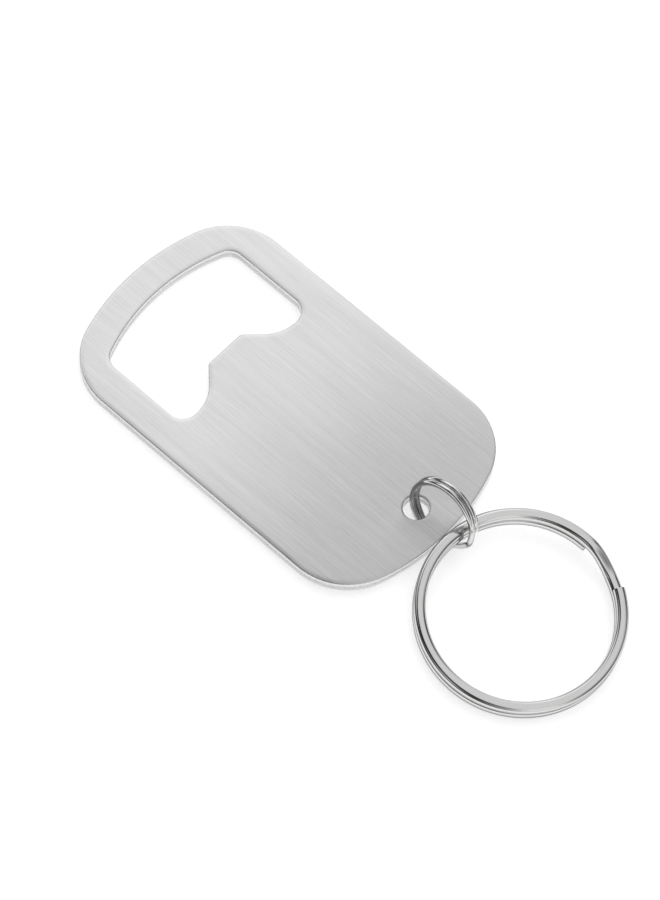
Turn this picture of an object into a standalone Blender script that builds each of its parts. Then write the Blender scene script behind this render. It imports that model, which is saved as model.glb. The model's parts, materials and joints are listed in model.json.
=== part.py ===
"""Keychain bottle opener: a stamped steel plate, a small split ring through its hole, and a key ring.

Units are metres and +Z is up. The origin is the centre of the plate's underside, +X runs
along the plate towards the rings, and +Y runs across its width.
"""

import math

import bmesh
import bpy
from mathutils import Euler, Matrix, Vector

MM = 0.001

# Opener plate
PLATE_LENGTH = 50.0 * MM
PLATE_WIDTH = 30.0 * MM
PLATE_THICKNESS = 1.6 * MM
END_RADIUS = 29.8 * MM
CORNER_RADIUS = 8.4 * MM
EDGE_BREAK = 0.15 * MM

# Cap cut-out
RIM_WIDTH = 3.9 * MM
CUTOUT_WIDTH = 21.4 * MM
CUTOUT_CORNER_RADIUS = 2.0 * MM
LOBE_X = -6.45 * MM
LOBE_RADIUS = 2.1 * MM
TOOTH_X = -10.0 * MM
TOOTH_WIDTH = 5.5 * MM
TOOTH_SHOULDER_RADIUS = 0.7 * MM
FLANK_ANGLE = math.radians(45)

# Hole for the link ring
HOLE_X = 20.3 * MM
HOLE_RADIUS = 1.55 * MM

# Link ring: outer diameter, wire thickness, and the distance from coil to coil. The wire's
# angles run from its start in the lower coil, over the ramp between coils, to its end
LINK_DIAMETER = 9.50 * MM
LINK_WIRE = 0.66 * MM
LINK_WIRE_ROUND = 0.28 * MM
LINK_PITCH = 0.71 * MM
LINK_CENTRE = Vector((23.70, 0.84, 3.34)) * MM
LINK_LEAN = math.radians(13.2)
LINK_YAW = math.radians(-0.8)
LINK_START = math.radians(80)
LINK_RAMP = (math.radians(360), math.radians(390))
LINK_END = math.radians(706)

# Key ring: the wire is wider than it is tall, with well rounded corners
KEY_DIAMETER = 24.6 * MM
KEY_WIRE_WIDTH = 1.40 * MM
KEY_WIRE_HEIGHT = 1.27 * MM
KEY_WIRE_ROUND = 0.46 * MM
KEY_PITCH = 1.30 * MM
KEY_CENTRE = Vector((37.56, -1.36, 0.74)) * MM
KEY_ROLL = math.radians(3.44)
KEY_TILT = math.radians(6.44)
KEY_START = math.radians(90)
KEY_RAMP = (math.radians(424), math.radians(449))
KEY_END = math.radians(777.5)

# The link ring turns about its own axis, as its wire runs through the plate's hole. The key
# ring turns about the outer side of its own wire, at the place where it hangs in the link ring
KEY_HINGE_ANGLE = math.radians(173.5)
KEY_HINGE_INSET = 0.1 * MM

ARC_STEP = math.radians(7.5)
KEY_STEP = math.radians(5)
LINK_STEP = math.radians(7.5)
CORNER_STEPS = 3


def clear_scene():
    for obj in list(bpy.data.objects):
        bpy.data.objects.remove(obj, do_unlink=True)


def metal(name, colour, roughness):
    material = bpy.data.materials.new(name)
    material.use_nodes = True
    shader = material.node_tree.nodes["Principled BSDF"]
    shader.inputs["Base Color"].default_value = (*colour, 1)
    shader.inputs["Metallic"].default_value = 1
    shader.inputs["Roughness"].default_value = roughness
    return material


def add_mesh(name, bm, material, sharp_angle):
    bmesh.ops.recalc_face_normals(bm, faces=bm.faces)
    mesh = bpy.data.meshes.new(name)
    bm.to_mesh(mesh)
    bm.free()
    mesh.shade_smooth()
    mesh.set_sharp_from_angle(angle=sharp_angle)
    mesh.materials.append(material)
    obj = bpy.data.objects.new(name, mesh)
    bpy.context.scene.collection.objects.link(obj)
    return obj


def arc(centre, radius, start, end):
    """Points of an arc in the plate's plane, both ends included."""
    steps = max(2, math.ceil(abs(end - start) / ARC_STEP))
    angles = [start + (end - start) * i / steps for i in range(steps + 1)]
    return [(centre[0] + radius * math.cos(a), centre[1] + radius * math.sin(a)) for a in angles]


def mirrored(half):
    """A closed outline from its half with y above zero."""
    other = [(x, -y) for x, y in reversed(half) if y > 1e-9]
    return half + other


def plate_outline(grow):
    """The plate's rounded rectangle, moved outwards by grow."""
    end_x = PLATE_LENGTH / 2 - END_RADIUS
    corner_y = PLATE_WIDTH / 2 - CORNER_RADIUS
    corner_x = end_x + math.sqrt((END_RADIUS - CORNER_RADIUS) ** 2 - corner_y**2)
    meet = math.atan2(corner_y, corner_x - end_x)
    half = arc((end_x, 0), END_RADIUS + grow, 0, meet)
    half += arc((corner_x, corner_y), CORNER_RADIUS + grow, meet, math.pi / 2)[1:]
    half += [(-x, y) for x, y in reversed(half)]
    return mirrored(half)


def cutout_outline(grow):
    """The cap cut-out with its tooth, moved outwards by grow."""
    half_width = CUTOUT_WIDTH / 2
    end_x = END_RADIUS - PLATE_LENGTH / 2
    end_radius = END_RADIUS - RIM_WIDTH
    corner_y = half_width - CUTOUT_CORNER_RADIUS
    corner_x = end_x - math.sqrt((end_radius - CUTOUT_CORNER_RADIUS) ** 2 - corner_y**2)
    meet = math.atan2(corner_y, corner_x - end_x)
    lobe_y = half_width - LOBE_RADIUS
    flank_y = TOOTH_WIDTH / 2 + (LOBE_X - TOOTH_X)
    flank_radius = (lobe_y - flank_y) / math.tan(FLANK_ANGLE / 2)
    shoulder_y = TOOTH_WIDTH / 2 - TOOTH_SHOULDER_RADIUS * math.tan(FLANK_ANGLE / 2)
    half = arc((end_x, 0), end_radius + grow, math.pi, meet)
    half += arc((corner_x, corner_y), CUTOUT_CORNER_RADIUS + grow, meet, math.pi / 2)[1:]
    half += arc((LOBE_X - LOBE_RADIUS, lobe_y), LOBE_RADIUS + grow, math.pi / 2, 0)
    half += arc((LOBE_X - flank_radius, lobe_y), flank_radius + grow, 0, -FLANK_ANGLE)[1:]
    shoulder = (TOOTH_X + TOOTH_SHOULDER_RADIUS, shoulder_y)
    half += arc(shoulder, TOOTH_SHOULDER_RADIUS - grow, math.pi - FLANK_ANGLE, math.pi)
    return mirrored(half)


def hole_outline(grow):
    return arc((HOLE_X, 0), HOLE_RADIUS + grow, 0, math.tau)[:-1]


def add_wall(bm, outline, outwards):
    """One outline's wall with both its edges broken. Returns its lowest and highest rows of vertices."""
    levels = [
        (0, -EDGE_BREAK),
        (EDGE_BREAK, 0),
        (PLATE_THICKNESS - EDGE_BREAK, 0),
        (PLATE_THICKNESS, -EDGE_BREAK),
    ]
    rows = [[bm.verts.new((x, y, z)) for x, y in outline(outwards * grow)] for z, grow in levels]
    for lower, upper in zip(rows, rows[1:]):
        for k in range(len(lower)):
            bm.faces.new((lower[k - 1], lower[k], upper[k], upper[k - 1]))
    return rows[0], rows[-1]


def opener_plate(material):
    bm = bmesh.new()
    walls = [
        add_wall(bm, plate_outline, 1),
        add_wall(bm, cutout_outline, -1),
        add_wall(bm, hole_outline, -1),
    ]
    for cap in zip(*walls):
        edges = [bm.edges.get((row[k - 1], row[k])) for row in cap for k in range(len(row))]
        bmesh.ops.triangle_fill(bm, edges=edges, use_beauty=True)
    return add_mesh("opener_plate", bm, material, math.radians(30))


def wire_section(width, height, radius):
    """The wire's section with rounded corners, as (outwards, along the ring's axis)."""
    points = []
    for i, (side, top) in enumerate([(1, 1), (-1, 1), (-1, -1), (1, -1)]):
        centre = (side * (width / 2 - radius), top * (height / 2 - radius))
        for k in range(CORNER_STEPS + 1):
            angle = math.pi / 2 * (i + k / CORNER_STEPS)
            points.append((centre[0] + radius * math.cos(angle), centre[1] + radius * math.sin(angle)))
    return points


def layer_height(angle, ramp, pitch):
    """The coil's height: one layer below the ring's middle, a smooth ramp, then one layer above it."""
    share = min(1, max(0, (angle - ramp[0]) / (ramp[1] - ramp[0])))
    return pitch * (share * share * (3 - 2 * share) - 0.5)


def split_ring(name, diameter, section, width, pitch, start, ramp, end, step, material):
    """A ring of two coils of one wire, centred on its axis, local Z."""
    bm = bmesh.new()
    count = math.ceil((end - start) / step)
    middle = (diameter - width) / 2
    rows = []
    for i in range(count + 1):
        angle = start + (end - start) * i / count
        lift = layer_height(angle, ramp, pitch)
        row = []
        for out, up in section:
            radius = middle + out
            row.append(bm.verts.new((radius * math.cos(angle), radius * math.sin(angle), lift + up)))
        rows.append(row)
    for row, following in zip(rows, rows[1:]):
        for k in range(len(section)):
            n = (k + 1) % len(section)
            bm.faces.new((row[k], row[n], following[n], following[k]))
    bm.faces.new(rows[0])
    bm.faces.new(list(reversed(rows[-1])))
    return add_mesh(name, bm, material, math.radians(40))


def attach(obj, world, parent=None, parent_world=None):
    """Puts obj at its world matrix, as a child of parent if there is one."""
    if parent is None:
        obj.matrix_basis = world
    else:
        obj.parent = parent
        obj.matrix_basis = parent_world.inverted() @ world


def hinge_on_wire(name, placing, radius, angle, parent, parent_world):
    """An empty on a ring's wire, its local Z along the wire, with its world matrix."""
    point = placing @ Vector((radius * math.cos(angle), radius * math.sin(angle), 0))
    along = placing.to_3x3() @ Vector((-math.sin(angle), math.cos(angle), 0))
    world = Matrix.Translation(point) @ along.to_track_quat("Z", "Y").to_matrix().to_4x4()
    hinge = bpy.data.objects.new(name, None)
    hinge.empty_display_size = 2 * MM
    bpy.context.scene.collection.objects.link(hinge)
    attach(hinge, world, parent, parent_world)
    return hinge, world


def link_ring(material):
    section = wire_section(LINK_WIRE, LINK_WIRE, LINK_WIRE_ROUND)
    ring = split_ring(
        "link_ring", LINK_DIAMETER, section, LINK_WIRE, LINK_PITCH,
        LINK_START, LINK_RAMP, LINK_END, LINK_STEP, material,
    )
    turn = Euler((-math.pi / 2 - LINK_LEAN, 0, LINK_YAW))
    world = Matrix.Translation(LINK_CENTRE) @ turn.to_matrix().to_4x4()
    attach(ring, world)
    return ring, world


def key_ring(material, link, link_world):
    section = wire_section(KEY_WIRE_WIDTH, KEY_WIRE_HEIGHT, KEY_WIRE_ROUND)
    ring = split_ring(
        "key_ring", KEY_DIAMETER, section, KEY_WIRE_WIDTH, KEY_PITCH,
        KEY_START, KEY_RAMP, KEY_END, KEY_STEP, material,
    )
    turn = Euler((KEY_ROLL, KEY_TILT, 0))
    world = Matrix.Translation(KEY_CENTRE) @ turn.to_matrix().to_4x4()
    reach = KEY_DIAMETER / 2 - KEY_HINGE_INSET
    hinge, hinge_world = hinge_on_wire("key_ring_hinge", world, reach, KEY_HINGE_ANGLE, link, link_world)
    attach(ring, world, hinge, hinge_world)


def build():
    clear_scene()
    brushed = metal("brushed_steel", (0.60, 0.60, 0.59), 0.34)
    plated = metal("nickel_plate", (0.78, 0.78, 0.77), 0.10)
    opener_plate(brushed)
    link, link_world = link_ring(plated)
    key_ring(plated, link, link_world)


build()
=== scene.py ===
"""Keychain bottle opener: a brushed steel plate and two split rings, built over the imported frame.

Units are metres and +Z is up. +X runs along the plate from the cap cut-out to the rings.
"""

import json
import math

import bmesh
import bpy
from mathutils import Matrix, Vector


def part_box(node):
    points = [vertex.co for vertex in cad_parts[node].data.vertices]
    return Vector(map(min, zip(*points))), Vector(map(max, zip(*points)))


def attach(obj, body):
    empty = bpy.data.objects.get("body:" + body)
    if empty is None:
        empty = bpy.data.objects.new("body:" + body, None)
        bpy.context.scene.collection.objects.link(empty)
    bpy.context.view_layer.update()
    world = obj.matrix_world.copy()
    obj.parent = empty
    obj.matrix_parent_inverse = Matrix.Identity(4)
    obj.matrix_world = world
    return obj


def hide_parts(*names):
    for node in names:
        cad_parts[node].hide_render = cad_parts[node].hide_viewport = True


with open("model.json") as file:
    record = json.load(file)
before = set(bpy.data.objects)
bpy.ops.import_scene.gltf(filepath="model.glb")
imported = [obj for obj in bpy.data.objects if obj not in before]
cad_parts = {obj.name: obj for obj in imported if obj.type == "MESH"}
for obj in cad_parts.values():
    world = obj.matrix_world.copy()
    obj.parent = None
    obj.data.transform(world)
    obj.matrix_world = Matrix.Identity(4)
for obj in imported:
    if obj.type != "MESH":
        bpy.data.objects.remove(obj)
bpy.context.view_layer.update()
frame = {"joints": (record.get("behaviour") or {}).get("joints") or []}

MM = 0.001

# Plate: its size comes from the frame, and these are its own details
END_RADIUS = 29.8 * MM
CORNER_RADIUS = 8.4 * MM
RIM_WIDTH = 3.9 * MM
CUTOUT_WIDTH = 21.4 * MM
CUTOUT_CORNER_RADIUS = 2.0 * MM
LOBE_X = -6.45 * MM
LOBE_RADIUS = 2.1 * MM
TOOTH_X = -10.0 * MM
TOOTH_WIDTH = 5.5 * MM
TOOTH_SHOULDER_RADIUS = 0.7 * MM
FLANK_ANGLE = math.radians(45)
HOLE_X = 20.3 * MM
HOLE_RADIUS = 1.55 * MM
EDGE_ROUND = 0.12 * MM
ROLL_WIDTH = 0.55 * MM
ROLL_DEPTH = 0.05 * MM
HOLE_ROLL_WIDTH = 0.25 * MM
ROLL_STEPS = 6
SHEAR_LINE = 0.70 * MM
SHEAR_LINE_WIDTH = 0.12 * MM
SHEAR_LINE_DEPTH = 0.04 * MM

# Link ring
LINK_WIRE = 0.66 * MM
LINK_WIRE_ROUND = 0.28 * MM
LINK_PITCH = 0.71 * MM
LINK_DIAMETER = 9.50 * MM
LINK_START = math.radians(80)
LINK_RAMP = (math.radians(360), math.radians(390))
LINK_END = math.radians(706)

# Key ring
KEY_DIAMETER = 24.6 * MM
KEY_WIRE_WIDTH = 1.40 * MM
KEY_WIRE_HEIGHT = 1.27 * MM
KEY_WIRE_ROUND = 0.46 * MM
KEY_PITCH = 1.30 * MM
KEY_START = math.radians(90)
KEY_RAMP = (math.radians(424), math.radians(449))
KEY_END = math.radians(777.5)

# Meshes
END_BREAK = 0.05 * MM
ARC_STEP = math.radians(2.5)
COIL_STEP = math.radians(2.5)
ROUND_STEPS = 5
SHARP_ANGLE = math.radians(40)
ON_CENTRE_LINE = 1e-9

# Camera
CAMERA_AZIMUTH = math.radians(38.27)
CAMERA_ELEVATION = math.radians(61.75)
CAMERA_ROLL = math.radians(4.94)
CAMERA_DISTANCE = 425.8 * MM
CAMERA_TARGET = Vector((7.55, -0.68, 0)) * MM
CAMERA_LENS = 146.5
CAMERA_NEAR = 10 * MM

# Brushed steel: its grains' sizes are along X, Y and Z. The wall's finish turns into the face's as
# the surface's normal turns upright, and highlights are stretched by the brushing.
STEEL_COLOUR = 0.785
WALL_COLOUR = 0.68
HAIR_SIZE = (7 * MM, 0.16 * MM, 1)
FINE_HAIR_SIZE = (2.5 * MM, 0.06 * MM, 1)
STREAK_SIZE = (22 * MM, 0.9 * MM, 1)
CLOUD_SIZE = (14 * MM, 9 * MM, 9 * MM)
SHEAR_MARK_SIZE = (0.10 * MM, 0.10 * MM, 1.6 * MM)
BRUSH_DEPTH = 0.0012 * MM
SHEAR_MARK_HEIGHT = 1.2
FACE_ROUGHNESS = 0.32
WALL_ROUGHNESS = 0.36
FACE_UPRIGHTNESS = (0.75, 0.95)
BRUSH_STRETCH = 0.8

# Bright nickel: the drawn and ground grains' sizes are along and round the wire, in millimetres
NICKEL_COLOUR = 0.72
NICKEL_TINT = (1.0, 1.0, 0.995)
NICKEL_ROUGHNESS = 0.10
EDGE_TINT = (0.30, 0.30, 0.30)
DRAWN_SIZE = (6.0, 0.05, 1)
GROUND_SIZE = (0.22, 0.9, 1)
PEEL_SIZE = (0.5 * MM, 0.5 * MM, 0.5 * MM)
WORN_SIZE = (3 * MM, 3 * MM, 3 * MM)
PLATING_DEPTH = 0.0010 * MM

# Spreads a noise node's values to about -1 to 1
NOISE_GAIN = 4.0

# Tent that the metal mirrors: how bright its wall and its skirt are at headings in degrees, and
# the elevations where its pale horizon turns into skirt, the skirt into wall and the wall into roof
TENT_WALL = [
    (0, 0.50), (14, 0.25), (50, 0.48), (74, 0.10), (98, 0.78), (140, 0.98), (172, 0.72),
    (196, 0.20), (222, 0.03), (244, 0.20), (262, 0.55), (286, 0.06), (314, 0.45), (330, 0.98),
    (348, 0.95), (360, 0.50),
]
TENT_SKIRT = [
    (0, 0.30), (10, 0.06), (88, 0.06), (104, 0.85), (132, 0.85), (146, 0.06), (300, 0.06),
    (325, 0.90), (350, 0.90), (360, 0.30),
]
TENT_HORIZON = 0.55
HORIZON_TO_SKIRT = (math.radians(6), math.radians(13))
SKIRT_TO_WALL = (math.radians(16), math.radians(42))
WALL_TO_ROOF = (math.radians(48), math.radians(72))

# Its roof is dark on one heading's side. The fade is in how far a direction leans that way, from
# -1 to 1.
ROOF = 0.81
ROOF_GAP = 0.03
ROOF_GAP_HEADING = math.radians(240)
ROOF_GAP_FADE = (-0.09, 0.09)

# What the camera sees of the tent
BACKDROP = 0.78

# Lights
SOFT_BOX_POWER = 3.1
SOFT_BOX_HEIGHT = 700 * MM
SOFT_BOX_SIZE = (800 * MM, 800 * MM)
CARD_HEIGHT = 132 * MM
CARD_EDGE = -36 * MM
CARD_SIZE = (150 * MM, 260 * MM)
CARD_MIDDLE_Y = 60 * MM
CARD_GLOW = 0.34

# Light table
TABLE_GLOW = 0.50
TABLE_COLOUR = 0.68
PAPER_GRAIN = (0.4 * MM, 0.4 * MM, 1)
FLOOR_SIZE = 3000 * MM
FLOOR_GAP = 0.02 * MM


# ---------------------------------------------------------------- mesh helpers


def add_piece(name, bm, material, node):
    """Makes a shaded piece from bm that rides on the CAD node and replaces it."""
    bmesh.ops.recalc_face_normals(bm, faces=bm.faces)
    mesh = bpy.data.meshes.new(name)
    bm.to_mesh(mesh)
    bm.free()
    mesh.shade_smooth()
    mesh.set_sharp_from_angle(angle=SHARP_ANGLE)
    mesh.materials.append(material)
    obj = bpy.data.objects.new(name, mesh)
    bpy.context.scene.collection.objects.link(obj)
    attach(obj, node)
    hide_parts(node)


def arc(centre, radius, start, end):
    """Points along an arc about centre, both ends included."""
    steps = max(2, math.ceil(abs(end - start) / ARC_STEP))
    angles = [start + (end - start) * i / steps for i in range(steps + 1)]
    return [(centre[0] + radius * math.cos(a), centre[1] + radius * math.sin(a)) for a in angles]


def mirrored(half):
    """The closed outline of a half above the X axis and its mirror image below."""
    return half + [(x, -y) for x, y in reversed(half) if y > ON_CENTRE_LINE]


# ---------------------------------------------------------------- plate


def plate_outline(length, width, grow):
    """The plate's outline, moved outwards by grow."""
    end_x = length / 2 - END_RADIUS
    corner_y = width / 2 - CORNER_RADIUS
    corner_x = end_x + math.sqrt((END_RADIUS - CORNER_RADIUS) ** 2 - corner_y**2)
    meet = math.atan2(corner_y, corner_x - end_x)
    half = arc((end_x, 0), END_RADIUS + grow, 0, meet)
    half += arc((corner_x, corner_y), CORNER_RADIUS + grow, meet, math.pi / 2)[1:]
    half += [(-x, y) for x, y in reversed(half)]
    return mirrored(half)


def cutout_outline(length, grow):
    """The cap cut-out's outline, moved outwards by grow: curved far end, side lobes and a tooth."""
    half_width = CUTOUT_WIDTH / 2
    end_x = END_RADIUS - length / 2
    end_radius = END_RADIUS - RIM_WIDTH
    corner_y = half_width - CUTOUT_CORNER_RADIUS
    corner_x = end_x - math.sqrt((end_radius - CUTOUT_CORNER_RADIUS) ** 2 - corner_y**2)
    meet = math.atan2(corner_y, corner_x - end_x)
    lobe_y = half_width - LOBE_RADIUS
    flank_y = TOOTH_WIDTH / 2 + (LOBE_X - TOOTH_X)
    flank_radius = (lobe_y - flank_y) / math.tan(FLANK_ANGLE / 2)
    shoulder_y = TOOTH_WIDTH / 2 - TOOTH_SHOULDER_RADIUS * math.tan(FLANK_ANGLE / 2)
    half = arc((end_x, 0), end_radius + grow, math.pi, meet)
    half += arc((corner_x, corner_y), CUTOUT_CORNER_RADIUS + grow, meet, math.pi / 2)[1:]
    half += arc((LOBE_X - LOBE_RADIUS, lobe_y), LOBE_RADIUS + grow, math.pi / 2, 0)
    half += arc((LOBE_X - flank_radius, lobe_y), flank_radius + grow, 0, -FLANK_ANGLE)[1:]
    shoulder = (TOOTH_X + TOOTH_SHOULDER_RADIUS, shoulder_y)
    half += arc(shoulder, TOOTH_SHOULDER_RADIUS - grow, math.pi - FLANK_ANGLE, math.pi)
    return mirrored(half)


def hole_outline(grow):
    """The ring hole's outline, moved outwards by grow."""
    return arc((HOLE_X, 0), HOLE_RADIUS + grow, 0, math.tau)[:-1]


def add_wall(bm, outline, outwards, low, high, roll_width):
    """A stamped wall from low to high round an outline, and its two end loops.

    The faces roll down to rounded edges, and a shear line runs round the wall. outwards is 1 for an
    outer wall and -1 for an opening.
    """
    tilt = math.atan2(2 * ROLL_DEPTH, roll_width)
    edge_inset = EDGE_ROUND * (1 - math.sin(tilt))
    edge = []
    for i in range(ROLL_STEPS):
        along = i / ROLL_STEPS
        edge.append((ROLL_DEPTH * along**2, edge_inset + roll_width * (1 - along)))
    for i in range(ROUND_STEPS + 1):
        angle = tilt + (math.pi / 2 - tilt) * i / ROUND_STEPS
        rise = ROLL_DEPTH + EDGE_ROUND * (math.cos(tilt) - math.cos(angle))
        edge.append((rise, EDGE_ROUND * (1 - math.sin(angle))))
    shear_line = [
        (SHEAR_LINE - SHEAR_LINE_WIDTH / 2, 0),
        (SHEAR_LINE, SHEAR_LINE_DEPTH),
        (SHEAR_LINE + SHEAR_LINE_WIDTH / 2, 0),
    ]
    levels = edge + shear_line + [(high - low - up, inset) for up, inset in reversed(edge)]
    loops = []
    for up, inset in levels:
        loops.append([bm.verts.new((x, y, low + up)) for x, y in outline(-outwards * inset)])
    for lower, upper in zip(loops, loops[1:]):
        for k in range(len(lower)):
            bm.faces.new((lower[k - 1], lower[k], upper[k], upper[k - 1]))
    return loops[0], loops[-1]


def opener_plate(material):
    """The stamped plate: three walls, with both faces filled in between them."""
    low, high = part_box("opener_plate")
    length, width = high[0] - low[0], high[1] - low[1]
    base, top = low[2], high[2]
    bm = bmesh.new()
    walls = [
        add_wall(bm, lambda grow: plate_outline(length, width, grow), 1, base, top, ROLL_WIDTH),
        add_wall(bm, lambda grow: cutout_outline(length, grow), -1, base, top, ROLL_WIDTH),
        add_wall(bm, hole_outline, -1, base, top, HOLE_ROLL_WIDTH),
    ]
    for cap in zip(*walls):
        edges = [bm.edges.get((loop[k - 1], loop[k])) for loop in cap for k in range(len(loop))]
        bmesh.ops.triangle_fill(bm, edges=edges, use_beauty=True)
    add_piece("brushed_plate", bm, material, "opener_plate")


# ---------------------------------------------------------------- split rings


def wire_section(width, height, radius):
    """A wire's round-cornered section about its own middle, as (outwards, up) points."""
    points = []
    for i, (side, top) in enumerate([(1, 1), (-1, 1), (-1, -1), (1, -1)]):
        centre = (side * (width / 2 - radius), top * (height / 2 - radius))
        for k in range(ROUND_STEPS + 1):
            angle = math.pi / 2 * (i + k / ROUND_STEPS)
            point = (centre[0] + radius * math.cos(angle), centre[1] + radius * math.sin(angle))
            points.append(point)
    return points


def layer_height(angle, ramp, pitch):
    """The wire's height: half a pitch down before the ramp, and half a pitch up after it."""
    share = min(1, max(0, (angle - ramp[0]) / (ramp[1] - ramp[0])))
    return pitch * (share * share * (3 - 2 * share) - 0.5)


def split_ring(placing, diameter, wire, pitch, start, ramp, end):
    """Two coils of one wire about placing's local Z, with a broken edge round both cut ends.

    wire is its width, height and corner radius. The map "wire" runs along it and round its section,
    in millimetres.
    """
    width, height, _ = wire
    section = wire_section(*wire)
    bm = bmesh.new()
    wire_map = bm.loops.layers.uv.new("wire")
    middle = (diameter - width) / 2
    count = math.ceil((end - start) / COIL_STEP)
    angles = [start + (end - start) * i / count for i in range(count + 1)]
    shrink = 1 - 2 * END_BREAK / min(width, height)
    stations = [(start, shrink), (start + END_BREAK / middle, 1)]
    stations += [(a, 1) for a in angles[1:-1]]
    stations += [(end - END_BREAK / middle, 1), (end, shrink)]
    rows = []
    for angle, size in stations:
        lift = layer_height(angle, ramp, pitch)
        row = []
        for out, up in section:
            radius = middle + out * size
            point = Vector((radius * math.cos(angle), radius * math.sin(angle), lift + up * size))
            row.append(bm.verts.new(placing @ point))
        rows.append(row)
    around = [0]
    for k in range(len(section)):
        around.append(around[-1] + math.dist(section[k], section[(k + 1) % len(section)]))
    for i in range(len(rows) - 1):
        for k in range(len(section)):
            n = (k + 1) % len(section)
            face = bm.faces.new((rows[i][k], rows[i][n], rows[i + 1][n], rows[i + 1][k]))
            places = [(i, k), (i, k + 1), (i + 1, k + 1), (i + 1, k)]
            for loop, (row, side) in zip(face.loops, places):
                loop[wire_map].uv = (stations[row][0] * middle / MM, around[side] / MM)
    bm.faces.new(rows[0])
    bm.faces.new(list(reversed(rows[-1])))
    return bm


def joint(name):
    """The frame's joint of that name."""
    return next(j for j in frame["joints"] if j["name"] == name)


def ring_placing(centre, normal, across):
    """A ring's matrix: local Z along its normal, and local X square to the normal and to across."""
    normal = normal.normalized()
    x_axis = across.cross(normal).normalized()
    y_axis = normal.cross(x_axis)
    turn = Matrix((x_axis, y_axis, normal)).transposed().to_4x4()
    return Matrix.Translation(centre) @ turn


def link_ring(material):
    """The small split ring, about the axis that it turns on in the plate's hole."""
    swing = joint("link_ring_swing")
    normal = -Vector(swing["axis"])
    placing = ring_placing(Vector(swing["pos_m"]), normal, Vector((0, 0, -1)))
    wire = (LINK_WIRE, LINK_WIRE, LINK_WIRE_ROUND)
    bm = split_ring(placing, LINK_DIAMETER, wire, LINK_PITCH, LINK_START, LINK_RAMP, LINK_END)
    add_piece("small_split_ring", bm, material, "link_ring")


def key_ring(material):
    """The large split ring, square to the line from its centre to its hinge in the link ring."""
    swing = joint("key_ring_swing")
    low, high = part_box("key_ring")
    centre = (Vector(low) + Vector(high)) / 2
    normal = (Vector(swing["pos_m"]) - centre).cross(Vector(swing["axis"]))
    placing = ring_placing(centre, normal, Vector((0, 1, 0)))
    wire = (KEY_WIRE_WIDTH, KEY_WIRE_HEIGHT, KEY_WIRE_ROUND)
    bm = split_ring(placing, KEY_DIAMETER, wire, KEY_PITCH, KEY_START, KEY_RAMP, KEY_END)
    add_piece("large_split_ring", bm, material, "key_ring")


# ---------------------------------------------------------------- materials


def node_material(name):
    """A new material, its node tree and its shader."""
    material = bpy.data.materials.new(name)
    material.use_nodes = True
    tree = material.node_tree
    return material, tree, tree.nodes["Principled BSDF"]


def math_node(tree, operation, first, second=0.0, third=0.0):
    """A math node's output; each operand is a number or a socket."""
    node = tree.nodes.new("ShaderNodeMath")
    node.operation = operation
    for socket, operand in zip(node.inputs, (first, second, third)):
        if isinstance(operand, (int, float)):
            socket.default_value = operand
        else:
            tree.links.new(operand, socket)
    return node.outputs[0]


def grain(tree, coordinates, sizes, detail):
    """Noise, about -1 to 1, with grains of these sizes along the coordinates' three directions."""
    mapping = tree.nodes.new("ShaderNodeMapping")
    mapping.inputs["Scale"].default_value = [1 / size for size in sizes]
    tree.links.new(coordinates, mapping.inputs["Vector"])
    noise = tree.nodes.new("ShaderNodeTexNoise")
    noise.inputs["Scale"].default_value = 1
    noise.inputs["Detail"].default_value = detail
    tree.links.new(mapping.outputs[0], noise.inputs["Vector"])
    return math_node(tree, "MULTIPLY_ADD", noise.outputs["Fac"], NOISE_GAIN, -NOISE_GAIN / 2)


def components(tree, vector):
    """The X, Y and Z sockets of a vector."""
    node = tree.nodes.new("ShaderNodeSeparateXYZ")
    tree.links.new(vector, node.inputs[0])
    return node.outputs


def total(tree, start, *parts):
    """start plus each part's socket times its share."""
    value = start
    for socket, share in parts:
        value = math_node(tree, "MULTIPLY_ADD", socket, share, value)
    return value


def blend(tree, share, start, end):
    """start where share is 0, end where it is 1."""
    change = math_node(tree, "SUBTRACT", end, start)
    return math_node(tree, "MULTIPLY_ADD", share, change, start)


def fade(tree, value, start, end):
    """A smooth step from 0 at start to 1 at end."""
    node = tree.nodes.new("ShaderNodeMapRange")
    node.interpolation_type = "SMOOTHSTEP"
    tree.links.new(value, node.inputs["Value"])
    node.inputs["From Min"].default_value = start
    node.inputs["From Max"].default_value = end
    return node.outputs["Result"]


def grey(tree, value, tint, socket):
    """Gives a colour socket the value's brightness, times a tint."""
    mix = tree.nodes.new("ShaderNodeCombineColor")
    for channel, share in zip(mix.inputs, tint):
        tree.links.new(math_node(tree, "MULTIPLY", value, share), channel)
    tree.links.new(mix.outputs[0], socket)


def bump(tree, height, distance, shader):
    """Raises the shader's surface by distance for each unit of height."""
    node = tree.nodes.new("ShaderNodeBump")
    node.inputs["Strength"].default_value = 1
    node.inputs["Distance"].default_value = distance
    tree.links.new(height, node.inputs["Height"])
    tree.links.new(node.outputs[0], shader.inputs["Normal"])


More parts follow.
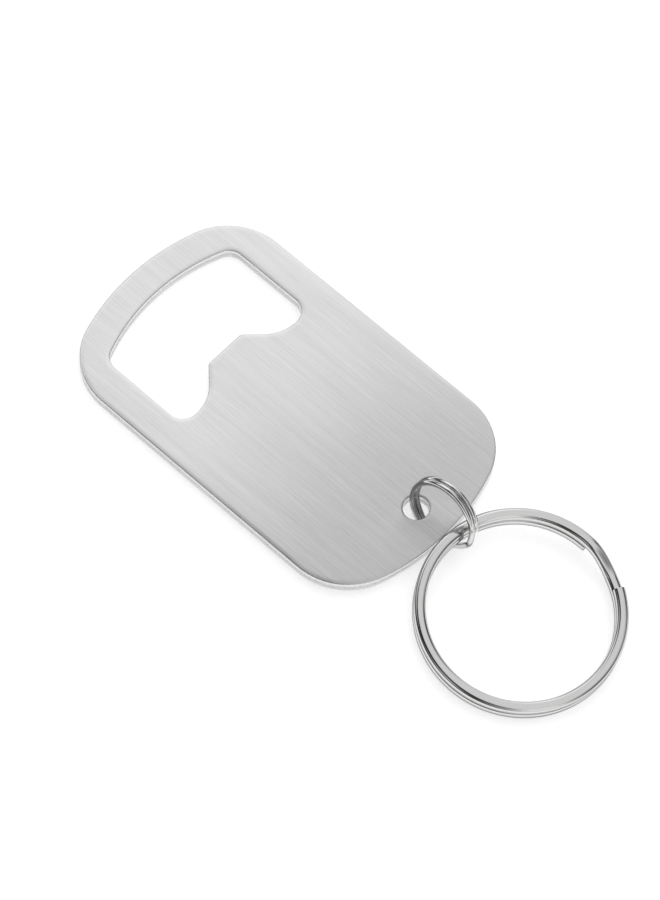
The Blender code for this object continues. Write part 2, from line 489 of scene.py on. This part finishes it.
def brushed_steel():
    """Hairline brushing along the plate's faces, and upright shear marks on its stamped walls."""
    material, tree, shader = node_material("brushed_steel")
    place = tree.nodes.new("ShaderNodeTexCoord").outputs["Object"]
    hair = grain(tree, place, HAIR_SIZE, 3)
    fine = grain(tree, place, FINE_HAIR_SIZE, 2)
    streak = grain(tree, place, STREAK_SIZE, 2)
    cloud = grain(tree, place, CLOUD_SIZE, 2)
    shear = grain(tree, place, SHEAR_MARK_SIZE, 3)
    normal = tree.nodes.new("ShaderNodeNewGeometry").outputs["Normal"]
    uprightness = math_node(tree, "ABSOLUTE", components(tree, normal)["Z"])
    face = fade(tree, uprightness, *FACE_UPRIGHTNESS)
    flat = total(tree, STEEL_COLOUR, (hair, 0.096), (fine, 0.057), (streak, 0.037), (cloud, 0.008))
    burnished = fade(tree, components(tree, place)["Z"], SHEAR_LINE, SHEAR_LINE + SHEAR_LINE_WIDTH)
    wall = total(tree, WALL_COLOUR, (shear, 0.05), (cloud, 0.02), (burnished, 0.06))
    grey(tree, blend(tree, face, wall, flat), (1.0, 1.0, 1.0), shader.inputs["Base Color"])
    flat_rough = total(tree, FACE_ROUGHNESS, (hair, 0.05), (fine, 0.03), (cloud, 0.02))
    wall_rough = total(tree, WALL_ROUGHNESS, (shear, 0.08), (burnished, -0.10))
    tree.links.new(blend(tree, face, wall_rough, flat_rough), shader.inputs["Roughness"])
    shader.inputs["Metallic"].default_value = 1
    flat_height = total(tree, 0.0, (hair, 0.6), (fine, 0.3), (streak, 0.5))
    wall_height = math_node(tree, "MULTIPLY", shear, SHEAR_MARK_HEIGHT)
    bump(tree, blend(tree, face, wall_height, flat_height), BRUSH_DEPTH, shader)
    shader.inputs["Anisotropic"].default_value = BRUSH_STRETCH
    tangent = tree.nodes.new("ShaderNodeTangent")
    tangent.direction_type = "RADIAL"
    tangent.axis = "X"
    tree.links.new(tangent.outputs[0], shader.inputs["Tangent"])
    return material


def bright_nickel():
    """Bright plating over drawn wire: lines along it, fine scratches and a soft orange peel."""
    material, tree, shader = node_material("bright_nickel")
    coordinates = tree.nodes.new("ShaderNodeTexCoord")
    wire_map, place = coordinates.outputs["UV"], coordinates.outputs["Object"]
    drawn = grain(tree, wire_map, DRAWN_SIZE, 2)
    ground = grain(tree, wire_map, GROUND_SIZE, 3)
    peel = grain(tree, place, PEEL_SIZE, 2)
    worn = grain(tree, place, WORN_SIZE, 3)
    colour = total(tree, NICKEL_COLOUR, (drawn, 0.02), (worn, 0.015), (ground, 0.008))
    grey(tree, colour, NICKEL_TINT, shader.inputs["Base Color"])
    roughness = total(tree, NICKEL_ROUGHNESS, (drawn, 0.02), (worn, 0.02))
    tree.links.new(roughness, shader.inputs["Roughness"])
    shader.inputs["Metallic"].default_value = 1
    shader.inputs["Specular Tint"].default_value = (*EDGE_TINT, 1)
    height = total(tree, 0.0, (drawn, 0.25), (ground, 0.2), (peel, 0.6))
    bump(tree, height, PLATING_DEPTH, shader)
    return material


# ---------------------------------------------------------------- studio


def camera():
    """The camera, high over the object's +X, -Y corner."""
    azimuth, elevation, roll = CAMERA_AZIMUTH, CAMERA_ELEVATION, CAMERA_ROLL
    forward = Vector((
        -math.sin(azimuth) * math.cos(elevation),
        math.cos(azimuth) * math.cos(elevation),
        -math.sin(elevation),
    ))
    level = Vector((math.cos(azimuth), math.sin(azimuth), 0))
    rise = level.cross(forward)
    right = level * math.cos(roll) + rise * math.sin(roll)
    up = rise * math.cos(roll) - level * math.sin(roll)
    data = bpy.data.cameras.new("camera")
    data.lens = CAMERA_LENS
    data.clip_start = CAMERA_NEAR
    obj = bpy.data.objects.new("camera", data)
    bpy.context.scene.collection.objects.link(obj)
    turn = Matrix((right, up, -forward)).transposed().to_4x4()
    obj.matrix_world = Matrix.Translation(CAMERA_TARGET - forward * CAMERA_DISTANCE) @ turn
    bpy.context.scene.camera = obj


def brightness_by_heading(tree, turn, stops):
    """A smooth curve through (degrees, brightness) stops; turn goes once round from 0 to 1."""
    node = tree.nodes.new("ShaderNodeValToRGB")
    node.color_ramp.interpolation = "EASE"
    elements = node.color_ramp.elements
    while len(elements) < len(stops):
        elements.new(0.5)
    for element, (degrees, brightness) in zip(elements, stops):
        element.position = degrees / 360
        element.color = (brightness, brightness, brightness, 1)
    tree.links.new(turn, node.inputs[0])
    return node.outputs[0]


def studio_world():
    """A white tent with dark gaps for the metal to mirror, and a plain backdrop for the camera."""
    world = bpy.data.worlds.new("studio")
    bpy.context.scene.world = world
    world.use_nodes = True
    tree = world.node_tree
    x, y, z = components(tree, tree.nodes.new("ShaderNodeTexCoord").outputs["Generated"])
    heading = math_node(tree, "ARCTAN2", y, x)
    turn = math_node(tree, "FRACT", math_node(tree, "MULTIPLY_ADD", heading, 1 / math.tau, 1.0))
    above_horizon, above_skirt, above_wall = [
        fade(tree, z, math.sin(start), math.sin(end))
        for start, end in (HORIZON_TO_SKIRT, SKIRT_TO_WALL, WALL_TO_ROOF)
    ]
    skirt = brightness_by_heading(tree, turn, TENT_SKIRT)
    wall = brightness_by_heading(tree, turn, TENT_WALL)
    side = blend(tree, above_horizon, TENT_HORIZON, blend(tree, above_skirt, skirt, wall))
    y_part = math_node(tree, "MULTIPLY", y, math.sin(ROOF_GAP_HEADING))
    towards_gap = math_node(tree, "MULTIPLY_ADD", x, math.cos(ROOF_GAP_HEADING), y_part)
    roof = blend(tree, fade(tree, towards_gap, *ROOF_GAP_FADE), ROOF, ROOF_GAP)
    seen = tree.nodes.new("ShaderNodeLightPath").outputs["Is Camera Ray"]
    brightness = blend(tree, seen, blend(tree, above_wall, side, roof), BACKDROP)
    tree.links.new(brightness, tree.nodes["Background"].inputs["Color"])
    tree.nodes["Background"].inputs["Strength"].default_value = 1.0


def area_light(name, size, power, location):
    """A light of the given size along X and Y that faces down."""
    data = bpy.data.lights.new(name, "AREA")
    data.shape = "RECTANGLE"
    data.size, data.size_y = size
    data.energy = power
    obj = bpy.data.objects.new(name, data)
    bpy.context.scene.collection.objects.link(obj)
    obj.location = location
    obj.visible_camera = False
    return obj


def soft_lights():
    """A wide overhead light that the metal doesn't mirror, and a near card that it does."""
    overhead = Vector((0, 0, SOFT_BOX_HEIGHT)) + CAMERA_TARGET
    area_light("soft_box", SOFT_BOX_SIZE, SOFT_BOX_POWER, overhead).visible_glossy = False
    middle = Vector((CARD_EDGE - CARD_SIZE[0] / 2, CARD_MIDDLE_Y, CARD_HEIGHT))
    card_power = CARD_GLOW * math.pi * CARD_SIZE[0] * CARD_SIZE[1]
    area_light("card", CARD_SIZE, card_power, middle)


def floor():
    """A light table that the plate's far end and the link ring's lowest point rest on."""
    plate_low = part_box("opener_plate")[0]
    link_low, link_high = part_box("link_ring")
    touch = Vector(((link_low[0] + link_high[0]) / 2, 0, link_low[2]))
    edge = Vector((plate_low[0], 0, plate_low[2]))
    slope = math.atan2(touch.z - edge.z, touch.x - edge.x)
    bm = bmesh.new()
    bmesh.ops.create_grid(bm, x_segments=1, y_segments=1, size=FLOOR_SIZE / 2)
    mesh = bpy.data.meshes.new("floor")
    bm.to_mesh(mesh)
    bm.free()
    material, tree, shader = node_material("paper")
    place = tree.nodes.new("ShaderNodeTexCoord").outputs["Object"]
    shade = grain(tree, place, PAPER_GRAIN, 3)
    grey(tree, total(tree, TABLE_COLOUR, (shade, 0.004)), (1, 1, 1), shader.inputs["Base Color"])
    shader.inputs["Emission Color"].default_value = (1, 1, 1, 1)
    shader.inputs["Emission Strength"].default_value = TABLE_GLOW
    shader.inputs["Roughness"].default_value = 1
    shader.inputs["Specular IOR Level"].default_value = 0
    mesh.materials.append(material)
    obj = bpy.data.objects.new("floor", mesh)
    bpy.context.scene.collection.objects.link(obj)
    obj.location = edge - Vector((0, 0, FLOOR_GAP))
    obj.rotation_euler = (0, -slope, 0)


steel = brushed_steel()
nickel = bright_nickel()
opener_plate(steel)
link_ring(nickel)
key_ring(nickel)
camera()
studio_world()
soft_lights()
floor()
bpy.context.scene.view_settings.view_transform = "Standard"
